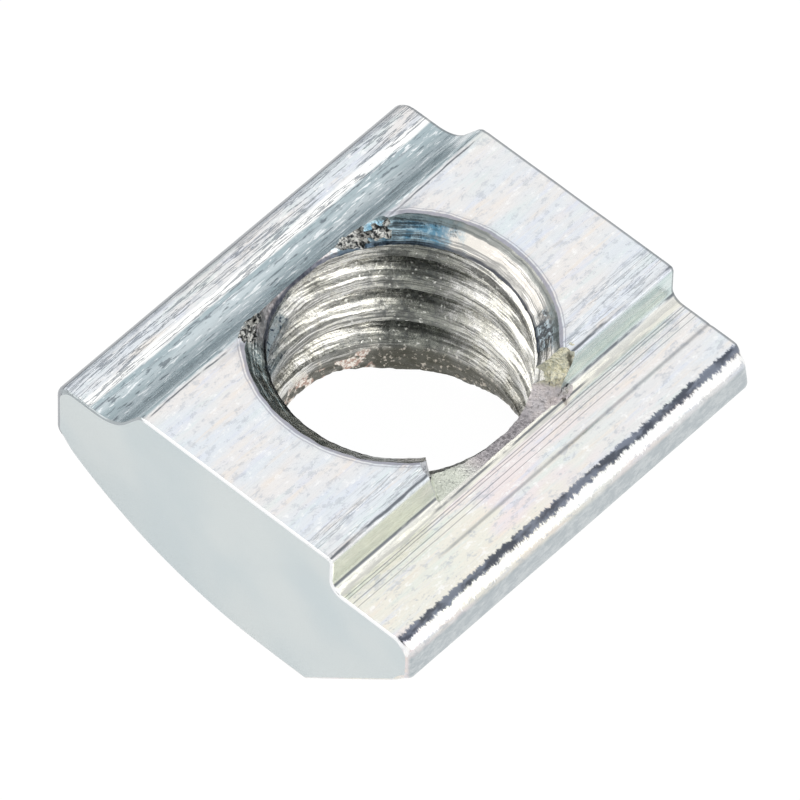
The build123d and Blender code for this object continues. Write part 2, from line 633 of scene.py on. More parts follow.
@dataclass
class TornWall:
    """The sector of thin wall that broke away on the right, as a solid to cut away, in millimetres."""

    angle: float = 81.0
    ledge: float = 0.91
    reach: float = 2.895
    inner: float = 1.9
    top: float = 4.28
    lid: float = 0.4
    rough: float = 0.014

    def build(self) -> bpy.types.Object:
        """Makes the sector: a wedge over angle and a run down, across and up its section.

        The run goes from the top inner edge down the bore side, out along the ledge and up
        the outer side. The ledge climbs to the top at both ends, slowly at the far one.
        Noise moves each point, so the broken faces are uneven.

        Returns:
            A closed mesh.
        """
        floor = self.top - self.ledge + 0.05
        lid = self.top + self.lid
        half = math.radians(self.angle / 2)
        down = np.stack([np.full(8, 0.0), np.linspace(lid, floor, 8, endpoint=False)], -1)
        out = np.stack([np.linspace(0.0, 1.0, 26, endpoint=False), np.full(26, floor)], -1)
        up = np.stack([np.full(9, 1.0), np.linspace(floor, lid, 9)], -1)
        run = np.concatenate([down, out, up])
        angle = np.linspace(-half, half, 90)
        grid_a, share = np.meshgrid(angle, run[:, 0], indexing="ij")
        degrees = np.degrees(grid_a)
        rise = smooth_step(-35.0, -40.0, degrees) + smooth_step(28.0, 40.0, degrees)
        above = (run[:, 1] - floor) / (lid - floor)
        grid_z = lid - (lid - floor - self.ledge * rise) * (1.0 - above)
        far = self.reach / np.cos(grid_a)
        radius = self.inner + (far - self.inner) * share
        x, y = radius * np.cos(grid_a), radius * np.sin(grid_a)
        waves = [Ripple(50 + k, 0.9, 0.10, 40)(x, y, grid_z) for k in range(3)]
        inside = smooth_step(1.0, 0.75, share)
        x, y = x + self.rough * waves[0] * inside, y + self.rough * waves[1]
        grid_z += self.rough * waves[2] * (0.2 + 0.8 * inside) * (1.0 + 1.5 * rise)
        points = np.stack([x, y, grid_z], -1).reshape(-1, 3)
        rows, columns = share.shape
        first = np.arange(columns)
        last = first + (rows - 1) * columns
        hubs = np.stack([points[first].mean(0), points[last].mean(0)])
        hubs[:, 2] = self.top + 0.1
        n = len(points)
        faces = [grid_faces(rows, columns)[:, ::-1], end_fan(first, n), end_fan(last, n + 1)]
        return mesh_object("torn_wall", np.concatenate([points, hubs]), faces, [Zone.TORN.value] * 3)


# ---------------------------------------------------------------- shader helpers


class Node:
    """One output socket of a node tree, with arithmetic that adds Math nodes."""

    def __init__(self, tree: bpy.types.NodeTree, socket: bpy.types.NodeSocket) -> None:
        """Keeps the tree and the socket."""
        self.tree = tree
        self.socket = socket

    def _math(self, operation: str, *values: Union["Node", float]) -> "Node":
        """Adds a Math node of that operation and returns its value."""
        return add(self.tree, "ShaderNodeMath", {"operation": operation}, dict(enumerate(values)))

    def __add__(self, other: Union["Node", float]) -> "Node":
        """Sum."""
        return self._math("ADD", self, other)

    def __radd__(self, other: float) -> "Node":
        """Sum with a number on the left."""
        return self._math("ADD", other, self)

    def __sub__(self, other: Union["Node", float]) -> "Node":
        """Difference."""
        return self._math("SUBTRACT", self, other)

    def __rsub__(self, other: float) -> "Node":
        """Difference from a number."""
        return self._math("SUBTRACT", other, self)

    def __mul__(self, other: Union["Node", float]) -> "Node":
        """Product."""
        return self._math("MULTIPLY", self, other)

    def __rmul__(self, other: float) -> "Node":
        """Product with a number on the left."""
        return self._math("MULTIPLY", other, self)

    def absolute(self) -> "Node":
        """The value without its sign."""
        return self._math("ABSOLUTE", self)

    def clamp(self) -> "Node":
        """The value held between 0 and 1."""
        return add(self.tree, "ShaderNodeClamp", {}, {0: self})

    def ramp(self, low: float, high: float) -> "Node":
        """Smooth ramp from 0 at low to 1 at high."""
        settings = {"interpolation_type": "SMOOTHSTEP"}
        return add(self.tree, "ShaderNodeMapRange", settings, {0: self, 1: low, 2: high})

    def band(self, low: float, high: float, soft: float) -> "Node":
        """1 between low and high with soft edges, 0 elsewhere."""
        return self.ramp(low - soft, low + soft) * (1.0 - self.ramp(high - soft, high + soft))


def add(tree: bpy.types.NodeTree, kind: str, settings: dict[str, Any], inputs: dict[Any, Any],
        output: Union[int, str] = 0) -> Node:
    """Adds one node, sets it up, and fills or links its sockets.

    Args:
        tree: the node tree.
        kind: the node's type.
        settings: attributes of the node, set first.
        inputs: values or Nodes by socket number or name.
        output: which output to hand back.

    Returns:
        That output.
    """
    node = tree.nodes.new(kind)
    for key, value in settings.items():
        setattr(node, key, value)
    for key, value in inputs.items():
        socket = node.inputs[key]
        if isinstance(value, Node):
            tree.links.new(value.socket, socket)
        elif isinstance(value, tuple) and len(value) == 3 and socket.type == "RGBA":
            socket.default_value = (*value, 1.0)
        else:
            socket.default_value = value
    return Node(tree, node.outputs[output])


Colour = Union[Node, tuple[int, int, int]]


def srgb(red: int, green: int, blue: int) -> tuple[float, float, float]:
    """A colour given in display steps of 0 to 255, as linear light."""
    steps = np.array([red, green, blue]) / 255.0
    return tuple(np.where(steps <= 0.04045, steps / 12.92, ((steps + 0.055) / 1.055) ** 2.4).tolist())


def mix(share: Node, first: Colour, second: Colour) -> Node:
    """Blends two colours with a Mix node.

    Args:
        share: share of the second colour, 0 to 1.
        first: a colour's node, or its display steps.
        second: the other colour's node, or its display steps.

    Returns:
        The blend.
    """
    a, b = (colour if isinstance(colour, Node) else srgb(*colour) for colour in (first, second))
    return add(share.tree, "ShaderNodeMix", {"data_type": "RGBA"}, {0: share, 6: a, 7: b}, 2)


def contour(value: Node, level: float, width: float) -> Node:
    """Thin line where a value passes a level, 1 on the line."""
    return 1.0 - (value - level).absolute().ramp(0.3 * width, width)


def empty_tree(owner: Union[bpy.types.Material, bpy.types.World]) -> bpy.types.NodeTree:
    """Turns nodes on for a material or a world and clears them."""
    owner.use_nodes = True
    owner.node_tree.nodes.clear()
    return owner.node_tree


def close_tree(shader: Node, kind: str = "ShaderNodeOutputMaterial") -> None:
    """Joins a shader to a new output node."""
    output = shader.tree.nodes.new(kind)
    shader.tree.links.new(shader.socket, output.inputs[0])


# ---------------------------------------------------------------- the finishes


@dataclass
class Finish:
    """Common parts of the zinc finishes, on coordinates in millimetres."""

    name: str

    def start(self) -> bpy.types.Material:
        """Makes an empty material and sets out its coordinates."""
        material = bpy.data.materials.new(self.name)
        self.tree = empty_tree(material)
        place = add(self.tree, "ShaderNodeTexCoord", {}, {}, "Object")
        scale = {"operation": "SCALE"}
        self.mm = add(self.tree, "ShaderNodeVectorMath", scale, {0: place, "Scale": 1.0 / MM})
        outputs = add(self.tree, "ShaderNodeSeparateXYZ", {}, {0: self.mm}).socket.node.outputs
        self.x, self.y, self.z = (Node(self.tree, outputs[i]) for i in range(3))
        return material

    def vector(self, x: Any, y: Any, z: Any) -> Node:
        """Joins three values into a vector."""
        return add(self.tree, "ShaderNodeCombineXYZ", {}, {0: x, 1: y, 2: z})

    def noise(self, vector: Node, scale: float, detail: float = 4.0, rough: float = 0.55) -> Node:
        """Fractal noise of 0 to 1 on a vector."""
        values = {"Vector": vector, "Scale": scale, "Detail": detail, "Roughness": rough}
        return add(self.tree, "ShaderNodeTexNoise", {"noise_dimensions": "3D"}, values)

    def drawn(self, across: float, along: float, detail: float = 4.0, offset: float = 0.0) -> Node:
        """Noise drawn out along the bar, with that many features in a millimetre each way."""
        place = self.vector(self.x * across + offset, self.y * along, self.z * across)
        return self.noise(place, 1.0, detail, 0.6)

    def end(self, material: bpy.types.Material, colour: Node, rough: Node, metal: float,
            height: Node, deep: float) -> bpy.types.Material:
        """Joins colour, roughness and height to the shader.

        Args:
            material: the material being made.
            colour: base colour.
            rough: roughness.
            metal: metallic share.
            height: height of the relief, in shares of its depth.
            deep: depth of the relief, in millimetres.

        Returns:
            The finished material.
        """
        values = {"Strength": 1.0, "Distance": deep * MM, "Height": height}
        bump = add(self.tree, "ShaderNodeBump", {}, values)
        close_tree(add(self.tree, "ShaderNodeBsdfPrincipled", {}, {
            "Base Color": colour, "Roughness": rough, "Metallic": metal, "Normal": bump}))
        return material


@dataclass
class DrawnZinc(Finish):
    """Bright zinc over drawn steel: die lines along the bar, faint tints, painted shade on the leaning left
    side, and painted light and shade on the round edges.
    """

    bar: DrawnBar = field(default_factory=DrawnBar)

    def start(self) -> bpy.types.Material:
        """Adds the noises that several places of the bar share."""
        material = super().start()
        self.upper = self.z.ramp(self.bar.shoulder_z - 0.30, self.bar.shoulder_z - 0.10)
        self.wavy = self.x + (self.drawn(2.0, 0.6, 3.0, 9.0) - 0.5) * 0.16
        self.coarse = self.drawn(5.0, 0.30, 5.0, 3.0)
        self.fleck = self.drawn(14.0, 2.2, 4.0, 5.0)
        self.streak = self.drawn(8.0, 0.8, 3.0, 23.0)
        self.grain = self.noise(self.vector(self.x, self.y * 0.55, self.z), 7.0, 5.0, 0.7)
        return material

    def build(self) -> bpy.types.Material:
        """Makes the material."""
        material = self.start()
        tint = self.paint_lean_shade_and_highlight(self.ground())
        lines, share = self.die_lines()
        thin = contour(self.drawn(9.0, 0.22, 3.0, 17.0), 0.5, 0.016)
        tint = mix(((lines + thin * 0.6) * share).clamp() * 0.75, tint, (118, 126, 136))
        tint = mix(self.rib_lines(), self.rib_side(tint), (92, 98, 106))
        tint = self.paint_end_edge_light(self.paint_left_edge_shade_and_reflection(self.paint_right_edge_light(tint)))
        tint = mix(self.rim(), tint, (146, 146, 158))
        height = self.coarse * 0.20 + self.fleck * 0.25 + self.grain * 0.45 - lines * share * 0.5
        return self.end(material, tint, 0.18 + 0.08 * self.fleck, 1.0, height, 0.013)

    def ground(self) -> Node:
        """The pale ground colour: near white, with faint streaks of lilac, cream and mint."""
        haze = self.drawn(0.7, 0.25, 3.0)
        fine = self.drawn(6.0, 0.7, 4.0)
        other = self.drawn(5.0, 0.5, 4.0, 31.0)
        right = self.x.ramp(self.bar.rib_right - 0.1, self.bar.rib_right + 0.2)
        warm = mix(haze.ramp(0.45, 0.55), (230, 226, 212), (230, 219, 219))
        tint = mix(haze.ramp(0.40, 0.62), (217, 222, 227), (226, 223, 221))
        tint = mix(right * (1.0 - self.y.ramp(-1.5, 4.0)) * 0.8, tint, warm)
        tint = mix(fine.ramp(0.50, 0.72) * 0.6, tint, (208, 214, 229))
        tint = mix(other.ramp(0.52, 0.74) * 0.6, tint, (232, 220, 207))
        tint = mix(other.ramp(0.50, 0.30) * 0.4, tint, (208, 224, 222))
        tint = mix(self.grain.ramp(0.56, 0.68) * 0.6, tint, (244, 244, 243))
        tint = mix(self.grain.ramp(0.46, 0.34) * 0.6, tint, (184, 189, 196))
        cracks = contour(self.grain, 0.42, 0.010) * fine.ramp(0.45, 0.60)
        return mix(cracks * 0.45, tint, (130, 136, 146))

    def paint_lean_shade_and_highlight(self, tint: Node) -> Node:
        """Paints the leaning side grey-blue with flecks as painted shade, and a painted highlight as a
        bright streak at its foot.

        Args:
            tint: colour so far.

        Returns:
            Colour with the leaning side.
        """
        foot = self.bar.lean_foot
        # Painted shade: the leaning side is coloured grey-blue for the shade beside the rib; the flecks are
        # its own.
        lean = mix(self.coarse.ramp(0.40, 0.62), (164, 179, 184), (196, 206, 210))
        lean = mix(self.fleck.ramp(0.57, 0.63) * 0.85, lean, (240, 244, 246))
        lean = mix(self.fleck.ramp(0.42, 0.37) * 0.7, lean, (92, 102, 110))
        tint = mix(self.wavy.band(foot - 0.62, self.bar.rib_left + 0.05, 0.045) * self.upper, tint, lean)
        # Painted highlight: a near-white streak along the foot of the lean.
        painted_foot_highlight = self.wavy.band(foot - 0.80, foot - 0.60, 0.035) * self.upper
        return mix(painted_foot_highlight * 0.9, tint, (253, 253, 251))

    def die_lines(self) -> tuple[Node, Node]:
        """Die lines: contour lines of drawn-out noise, thick on the left shoulder.

        Returns:
            How strong the lines are, and how much of them each place shows.
        """
        bar = self.bar
        left = self.wavy.band(bar.left + 0.20, bar.lean_foot - 0.45, 0.06)
        right = self.wavy.band(bar.rib_right - 0.75, bar.rib_right - 0.05, 0.12)
        share = (left * 0.85 + right * 0.45 + 0.05).clamp() * self.upper
        return contour(self.coarse, 0.50, 0.022) + contour(self.coarse, 0.60, 0.016), share

    def rib_side(self, tint: Node) -> Node:
        """Paints the rib's upright side pale mint, cream near the front, with a white foot.

        Args:
            tint: colour so far.

        Returns:
            Colour with the rib's side.
        """
        bar = self.bar
        side = self.x.band(bar.rib_right - 0.03, bar.rib_right + 0.06, 0.015)
        side = side * self.z.band(bar.shoulder_z + 0.13, bar.height - 0.10, 0.05)
        mint = mix(self.streak.ramp(0.40, 0.62), (200, 218, 216), (220, 231, 229))
        mint = mix((1.0 - self.y.ramp(-2.6, -1.0)) * 0.6, mint, (230, 228, 210))
        foot = self.x.band(bar.rib_right + 0.05, bar.rib_right + 0.26, 0.02) * self.upper
        pale = mix(self.streak.ramp(0.44, 0.56), (204, 204, 198), (234, 233, 222))
        return mix(foot * 0.9, mix(side * 0.95, tint, mint), pale)

    def rib_lines(self) -> Node:
        """Dark broken lines along the rib's edges, its foot and the right shoulder; on the rib's round top
        edges they are a painted dark reflection.

        Returns:
            How dark each place is, 0 to 1.
        """
        bar = self.bar
        broken = self.drawn(3.0, 0.8, 4.0, 41.0)
        top = self.z.ramp(bar.height - 0.12, bar.height - 0.06)
        # Painted dark reflection along the rib's round top edges, broken up by noise.
        left = self.wavy.band(bar.rib_left + 0.10, bar.rib_left + 0.135, 0.012) * broken.ramp(0.38, 0.50)
        right = self.wavy.band(bar.rib_right - 0.10, bar.rib_right - 0.05, 0.016) * broken.ramp(0.42, 0.55)
        total = (left + right) * top
        away = self.x + (broken - 0.5) * 0.03 - bar.rib_right
        for place, width in ((0.30, 0.008), (0.36, 0.007), (0.50, 0.008), (0.62, 0.006)):
            total = total + away.band(place - width, place + width, 0.006) * 0.75
        torn = away.band(0.150, 0.190, 0.008) * (1.0 - self.y.absolute().ramp(1.9, 2.3))
        total = total + torn * broken.ramp(0.36, 0.46) * 0.9
        upright = self.z.band(bar.shoulder_z + 0.10, bar.shoulder_z + 0.16, 0.02)
        upright = upright * self.x.ramp(bar.rib_right - 0.05, bar.rib_right) * broken.ramp(0.3, 0.5)
        long_line = bar.rib_right + bar.long_line
        line = self.x.band(long_line - 0.03, long_line + 0.03, 0.025) * self.y.ramp(-3.0, -2.4)
        return ((total + upright + line * 0.55) * self.upper).clamp() * 0.9

    def paint_right_edge_light(self, tint: Node) -> Node:
        """Paints light on the round outer edge on the right: a painted dark reflection in a ragged band, a
        painted highlight in a white one, and painted shade on the grey side.

        Args:
            tint: colour so far.

        Returns:
            Colour with the edge.
        """
        right = self.bar.right
        jag = self.noise(self.vector(self.x * 5.0, self.y * 12.0, self.z * 5.0), 1.0, 5.0, 0.7)
        place = self.x + (jag - 0.5) * 0.30
        upper = self.z.ramp(self.bar.shoulder_z - 0.34, self.bar.shoulder_z - 0.26)
        # Painted dark reflection in a ragged band along the round outer edge.
        dark = place.band(right - 0.385, right - 0.225, 0.025) * upper
        deep = mix(self.drawn(4.0, 1.6, 3.0, 51.0).ramp(0.42, 0.58), (54, 62, 78), (112, 120, 136))
        tint = mix(dark * 0.92, tint, deep)
        # Painted highlight in a white band outside it.
        white = place.band(right - 0.20, right - 0.08, 0.02) * upper
        tint = mix(white * 0.85, tint, (255, 255, 253))
        # Painted shade: the upright right side is made greyer than the top.
        painted_side_shade = self.x.ramp(right - 0.10, right - 0.03) * (1.0 - self.z.ramp(3.0, 3.15))
        return mix(painted_side_shade, tint, mix(self.grain.ramp(0.40, 0.62), (176, 184, 188), (197, 203, 205)))

    def paint_left_edge_shade_and_reflection(self, tint: Node) -> Node:
        """Paints painted shade in grey on the round outer edge on the left, with a painted dark reflection
        as a line inside it.

        Args:
            tint: colour so far.

        Returns:
            Colour with the edge.
        """
        place = self.wavy * 0.4 + self.x * 0.6 - self.bar.left
        # Painted shade: grey over the outermost part of the round left edge.
        tint = mix(1.0 - place.ramp(0.15, 0.19), tint, (160, 163, 167))
        # Painted dark reflection: a thin line just inside the grey.
        return mix(place.band(0.165, 0.195, 0.010) * 0.8, tint, (88, 93, 100))

    def paint_end_edge_light(self, tint: Node) -> Node:
        """Paints light on the broken end edges: a white painted highlight at the near end, a duller grey on
        its left, and painted shade at the far end.

        Args:
            tint: colour so far.

        Returns:
            Colour with the end edges.
        """
        half = self.bar.length / 2
        # Painted highlight along the near end's top edges: white, turned to a duller grey left of the rib.
        near = (1.0 - self.y.ramp(0.030 - half, 0.055 - half)) * self.upper
        dull = 1.0 - self.x.ramp(self.bar.rib_left, self.bar.rib_left + 0.15)
        tint = mix(near, tint, mix(dull, (248, 249, 250), (172, 179, 182)))
        # Painted shade along the far end's top edges.
        return mix(self.y.ramp(half - 0.085, half - 0.055) * 0.75, tint, (128, 133, 137))

    def rim(self) -> Node:
        """Grey bead and a thin line outside it, round the run-in, both a little ragged."""
        around = add(self.tree, "ShaderNodeVectorMath", {"operation": "LENGTH"},
                     {0: self.vector(self.x, self.y, 0.0)}, "Value")
        edge = around + (self.noise(self.mm, 3.0, 3.0) - 0.5) * 0.05
        band = edge.band(2.90, 3.045, 0.012) + edge.band(3.075, 3.10, 0.012) * 0.7
        return band * self.z.ramp(self.bar.height - 0.10, self.bar.height - 0.05) * 0.8


@dataclass
class SawnZinc(Finish):
    """Matte zinc on the sawn ends."""

    def build(self) -> bpy.types.Material:
        """Makes the material."""
        material = self.start()
        cloud = self.noise(self.mm, 0.45, 2.0, 0.4)
        grain = self.noise(self.mm, 26.0, 3.0, 0.6)
        tint = mix(cloud.ramp(0.35, 0.65), (211, 220, 222), (220, 226, 226))
        return self.end(material, tint, 0.42 + 0.1 * grain, 0.85, grain, 0.006)


@dataclass
class BoreZinc(Finish):
    """Zinc in the tapped bore: rings that follow the thread, flecks, a painted dark reflection on the far
    wall and a blue-grey one low on the left wall, and painted shade in the thread roots.
    """

    pitch: float = 1.0
    first_crest: float = 0.27
    far_wall: float = 131.0

    def start(self) -> bpy.types.Material:
        """Adds the angle from the far wall, rising to the left, and the noises of the bore."""
        material = super().start()
        far = math.radians(self.far_wall)
        ahead = self.x * math.cos(far) + self.y * math.sin(far)
        across = self.y * math.cos(far) - self.x * math.sin(far)
        self.swing = self.trig("ARCTAN2", across, ahead) * (180.0 / math.pi)
        self.mottle = self.noise(self.mm, 3.5, 5.0, 0.65)
        self.fleck = self.noise(self.mm, 11.0, 3.0, 0.6)
        return material

    def trig(self, operation: str, *values: Node) -> Node:
        """A trigonometric function of one or two values."""
        return add(self.tree, "ShaderNodeMath", {"operation": operation}, dict(enumerate(values)))

    def rings(self, climb: float) -> Node:
        """Fine turning rings that climb by so many millimetres in a turn."""
        height = (self.z - self.swing * (climb / 360.0)) * 9.0
        return self.noise(self.vector(self.swing * 0.012, 0.0, height), 1.0, 3.0, 0.6)

    def build(self) -> bpy.types.Material:
        """Makes the material."""
        material = self.start()
        turn = self.trig("ARCTAN2", self.y, self.x)
        phase = (self.z - self.first_crest) * (2 * math.pi / self.pitch) - turn
        across, around = self.trig("COSINE", phase), self.trig("SINE", phase)
        ring = self.noise(self.vector(across * 2.0, around * 2.0, self.swing * 0.012), 3.2, 5.0, 0.65)
        rings = self.rings(self.pitch)
        shift = self.swing + (self.mottle - 0.5) * 46.0
        bright = mix(self.mottle.ramp(0.4, 0.6), (255, 254, 250), (250, 248, 238))
        # Painted dark reflection: the far wall, which faces the camera, turns dark olive-grey.
        dark = mix(self.mottle.ramp(0.42, 0.60), (76, 80, 76), (146, 149, 141))
        tint = mix(shift.band(-24.0, 12.0, 12.0) * 0.92, bright, dark)
        rows = rings.ramp(0.48, 0.42) * 0.75 + contour(rings, 0.60, 0.06) * 0.6
        tint = mix((rows + contour(ring, 0.5, 0.030) * 0.3).clamp(), tint, (84, 86, 82))
        # Painted shade in the thread roots.
        tint = mix((across * -1.0).ramp(0.72, 0.98) * 0.6, tint, (84, 86, 84))
        # Painted reflection: blue-grey low on the left wall, where more dark flecks gather too.
        left = shift.band(60.0, 112.0, 8.0) * self.z.ramp(1.4, 2.4)
        tint = mix(left * 0.8, tint, (92, 114, 126))
        tint = mix((self.fleck.ramp(0.44, 0.39) * (0.2 + left)).clamp(), tint, (48, 60, 74))
        sparkle = self.fleck.ramp(0.63, 0.67) * (1.0 - self.swing.ramp(20.0, 34.0))
        tint = mix(sparkle * 0.85, tint, (246, 246, 240))
        tint = mix((1.0 - self.z.ramp(0.55, 0.85)) * 0.9, tint, self.exit_ring())
        height = rings * 0.6 + ring * 0.5 + self.fleck * 0.4
        return self.end(material, tint, 0.16 + 0.2 * self.fleck, 1.0, height, 0.024)

    def exit_ring(self) -> Node:
        """Colour of the rough lower end: dark olive with flecks, and pink-white blobs on the left."""
        ring = mix(self.fleck.ramp(0.57, 0.66), (82, 81, 72), (186, 178, 166))
        blob = self.noise(self.mm, 3.4, 2.0, 0.5).ramp(0.52, 0.58) * self.swing.ramp(4.0, 20.0)
        return mix(blob, ring, mix(self.fleck.ramp(0.46, 0.54), (186, 156, 142), (250, 242, 232)))


@dataclass
class RunInZinc(BoreZinc):
    """Zinc on the run-in: a painted blue reflection on the far left, white to the right, a dark worn patch,
    and painted shade along its lower edge.
    """

    def build(self) -> bpy.types.Material:
        """Makes the material."""
        material = self.start()
        rings = self.rings(0.0)
        fleck, mottle = self.fleck, self.mottle
        shift = self.swing + (mottle - 0.5) * 30.0
        white = mix(rings.ramp(0.45, 0.60), (255, 252, 247), (246, 241, 233))
        blue = mix(mottle.ramp(0.42, 0.60), (104, 148, 172), (176, 202, 214))
        grey = mix(fleck.ramp(0.4, 0.6), (122, 118, 120), (186, 182, 184))
        # Painted reflection: blue over the cone's far side, which faces the camera.
        tint = mix(shift.band(-20.0, 34.0, 5.0), white, blue)
        tint = mix(shift.band(34.0, 190.0, 5.0), tint, grey)
        near_left = mix(fleck.ramp(0.44, 0.56), (150, 160, 158), (226, 230, 226))
        tint = mix(self.swing.band(92.0, 190.0, 6.0), tint, near_left)
        worn = mix(fleck.ramp(0.47, 0.53), (48, 62, 76), (186, 204, 214))
        tint = mix(shift.band(-90.0, -74.0, 4.0) * 0.9, tint, worn)
        tint = mix(contour(rings, 0.5, 0.05) * 0.6, tint, (92, 96, 96))
        tint = mix(self.z.ramp(4.12, 4.17) * 0.75, tint, (112, 120, 118))
        # Painted shade along the cone's lower edge, where the first thread turn begins.
        tint = mix((1.0 - self.z.ramp(3.86, 3.90)) * 0.85, tint, (44, 52, 66))
        return self.end(material, tint, 0.16 + 0.12 * mottle, 1.0, rings * 0.8 + fleck * 0.25, 0.030)


@dataclass
class TornZinc(Finish):
    """Zinc over broken steel: grey-violet and cream, crumbly."""

    pad: tuple[float, float, float] = (2.50, 1.33, 0.0)

    def build(self) -> bpy.types.Material:
        """Makes the material."""
        material = self.start()
        mottle = self.noise(self.mm, 2.6, 4.0, 0.6)
        fleck = self.noise(self.mm, 12.0, 4.0, 0.65)
        flat = 1.0 - self.z.ramp(3.50, 3.62)
        left = (1.0 - self.x.ramp(-0.5, 0.5)) * self.z.ramp(2.4, 2.8)
        tint = mix(fleck.ramp(0.42, 0.58), (234, 230, 206), (200, 201, 186))
        tint = mix(1.0 - self.y.ramp(-1.4, -0.6), tint, (206, 208, 212))
        tint = mix(flat * (1.0 - left), tint, self.ledge(mottle, fleck))
        to_pad = {0: self.vector(self.x, self.y * 0.85, 0.0), 1: self.pad}
        away = add(self.tree, "ShaderNodeVectorMath", {"operation": "DISTANCE"}, to_pad, "Value")
        groove = (away + (fleck - 0.5) * 0.10).band(0.24, 0.31, 0.02) * self.x.ramp(2.45, 2.55)
        tint = mix(groove * (1.0 - flat) * 0.9, tint, (84, 82, 70))
        burr = mix(mottle.ramp(0.45, 0.62), (122, 121, 114), (186, 180, 174))
        tint = mix(1.0 - self.z.ramp(1.9, 2.3), tint, burr)
        tint = mix(left, tint, mix(fleck.ramp(0.44, 0.54), (58, 62, 64), (240, 240, 236)))
        tint = mix(fleck.ramp(0.40, 0.34) * 0.6, tint, (84, 86, 90))
        return self.end(material, tint, 0.30 + 0.2 * fleck, 0.9, mottle * 0.8 + fleck, 0.075)

    def ledge(self, mottle: Node, fleck: Node) -> Node:
        """Colours of the ledge: violet-grey, dull in the middle, pale towards the near end.

        Args:
            mottle: coarse noise.
            fleck: fine noise.

        Returns:
            Base colour.
        """
        ledge = mix(mottle.ramp(0.44, 0.60), (224, 217, 217), (206, 202, 205))
        dull = mix(fleck.ramp(0.45, 0.60), (150, 146, 150), (188, 184, 187))
        ledge = mix(self.y.band(-0.7, 0.8, 0.3), ledge, dull)
        return mix(1.0 - self.y.ramp(-1.3, -0.6), ledge, (226, 230, 219))


# ---------------------------------------------------------------- the nut


class Join(Enum):
    """How a second solid changes the nut."""

    CUT = "DIFFERENCE"
    ADD = "UNION"


@dataclass
class SlotNut:
    """The nut: the drawn bar with its exit burr, cut by the run-in, the thread and the tears."""

    bar: DrawnBar = field(default_factory=DrawnBar)
    bore: TappedBore = field(default_factory=TappedBore)

    def change(self, obj: bpy.types.Object, other: bpy.types.Object, how: Join) -> None:
        """Cuts another solid away from obj or joins it on, and removes that solid.

        Args:
            obj: the piece that is changed.
            other: the second solid.
            how: cut or add.
        """
        self.give_slots(other)
        change = obj.modifiers.new("change", "BOOLEAN")
        change.operation = how.value
        change.solver = "MANIFOLD"
        change.object = other
        graph = bpy.context.evaluated_depsgraph_get()
        result = bpy.data.meshes.new_from_object(obj.evaluated_get(graph))
        obj.modifiers.remove(change)
        old, mesh = obj.data, other.data
        before, after = len(old.polygons), len(result.polygons)
        log.info("%s %s: %d to %d faces", how.name.lower(), other.name, before, after)
        obj.data = result
        bpy.data.objects.remove(other)
        bpy.data.meshes.remove(old)
        bpy.data.meshes.remove(mesh)

    def chips(self) -> list[RoughBall]:
        """Places where the feather edge beside the run-in crumbled away."""
        rim = self.bore.top - 0.12
        return [
            RoughBall((-2.34, 1.34, rim - 0.10), (0.22, 0.42, 0.26), -38.0, 61),
            RoughBall((-2.08, 1.72, rim - 0.02), (0.17, 0.24, 0.20), -35.0, 62),
            RoughBall((-2.22, -1.86, rim - 0.04), (0.16, 0.30, 0.24), 30.0, 63),
            RoughBall((-2.42, -1.50, rim - 0.14), (0.14, 0.24, 0.20), 20.0, 64),
            RoughBall((2.42, -1.92, rim + 0.16), (0.20, 0.13, 0.20), -40.0, 65, 0.15),
        ]

    def crumbs(self) -> list[RoughBall]:
        """Small lumps that still cling to the torn edges."""
        ledge = self.bore.top - self.bar.rib_height + 0.05
        return [
            RoughBall((2.40, 2.06, self.bore.top - 0.12), (0.14, 0.08, 0.09), 38.0, 71, 0.2),
            RoughBall((2.44, 1.60, self.bore.top - 0.50), (0.19, 0.24, 0.18), 10.0, 78, 0.2),
            RoughBall((2.74, 1.62, ledge + 0.05), (0.09, 0.16, 0.06), 10.0, 72),
            RoughBall((2.72, 1.35, ledge + 0.02), (0.06, 0.12, 0.05), -5.0, 73),
            RoughBall((-2.42, 1.05, self.bore.top - 0.28), (0.10, 0.13, 0.08), -30.0, 75),
            RoughBall((-2.06, 1.60, self.bore.top - 0.22), (0.09, 0.11, 0.08), -30.0, 76),
            RoughBall((-2.16, -1.92, self.bore.top - 0.20), (0.08, 0.12, 0.08), 35.0, 77),
        ]

    def build(self) -> bpy.types.Object:
        """Builds the nut, smooths it by angle and dresses it.

        Returns:
            The finished piece.
        """
        nut = self.bar.build()
        nut.name = "nut_skin"
        self.give_slots(nut)
        self.change(nut, ExitBurr(self.bar).build(), Join.ADD)
        self.change(nut, self.bore.build_run_in(), Join.CUT)
        self.change(nut, TornWall(reach=self.bar.rib_right + 0.6 * self.bar.root_round).build(), Join.CUT)
        for ball in self.chips():
            self.change(nut, ball.build(), Join.CUT)
        for ball in self.crumbs():
            self.change(nut, ball.build(), Join.ADD)
        self.change(nut, self.bore.build_thread(), Join.CUT)
        nut.data.name = "nut_skin"
        self.dress(nut)
        nut.data.shade_smooth()
        nut.data.set_sharp_from_angle(angle=math.radians(28.0))
        return nut

    def give_slots(self, obj: bpy.types.Object) -> None:
        """Gives obj one empty material slot for each zone."""
        for zone in Zone:
            name = "zone_" + zone.name.lower()
            obj.data.materials.append(bpy.data.materials.get(name) or bpy.data.materials.new(name))

    def dress(self, nut: bpy.types.Object) -> None:
        """Puts the finish of each zone into its slot."""
        finishes = {
            "zone_drawn": DrawnZinc("drawn_zinc", bar=self.bar).build(),
            "zone_sawn": SawnZinc("sawn_zinc").build(),
            "zone_thread": BoreZinc("thread_zinc").build(),
            "zone_run_in": RunInZinc("run_in_zinc").build(),
            "zone_torn": TornZinc("torn_zinc").build(),
        }
        for i, old in enumerate(list(nut.data.materials)):
            nut.data.materials[i] = finishes[old.name]


# ---------------------------------------------------------------- the studio


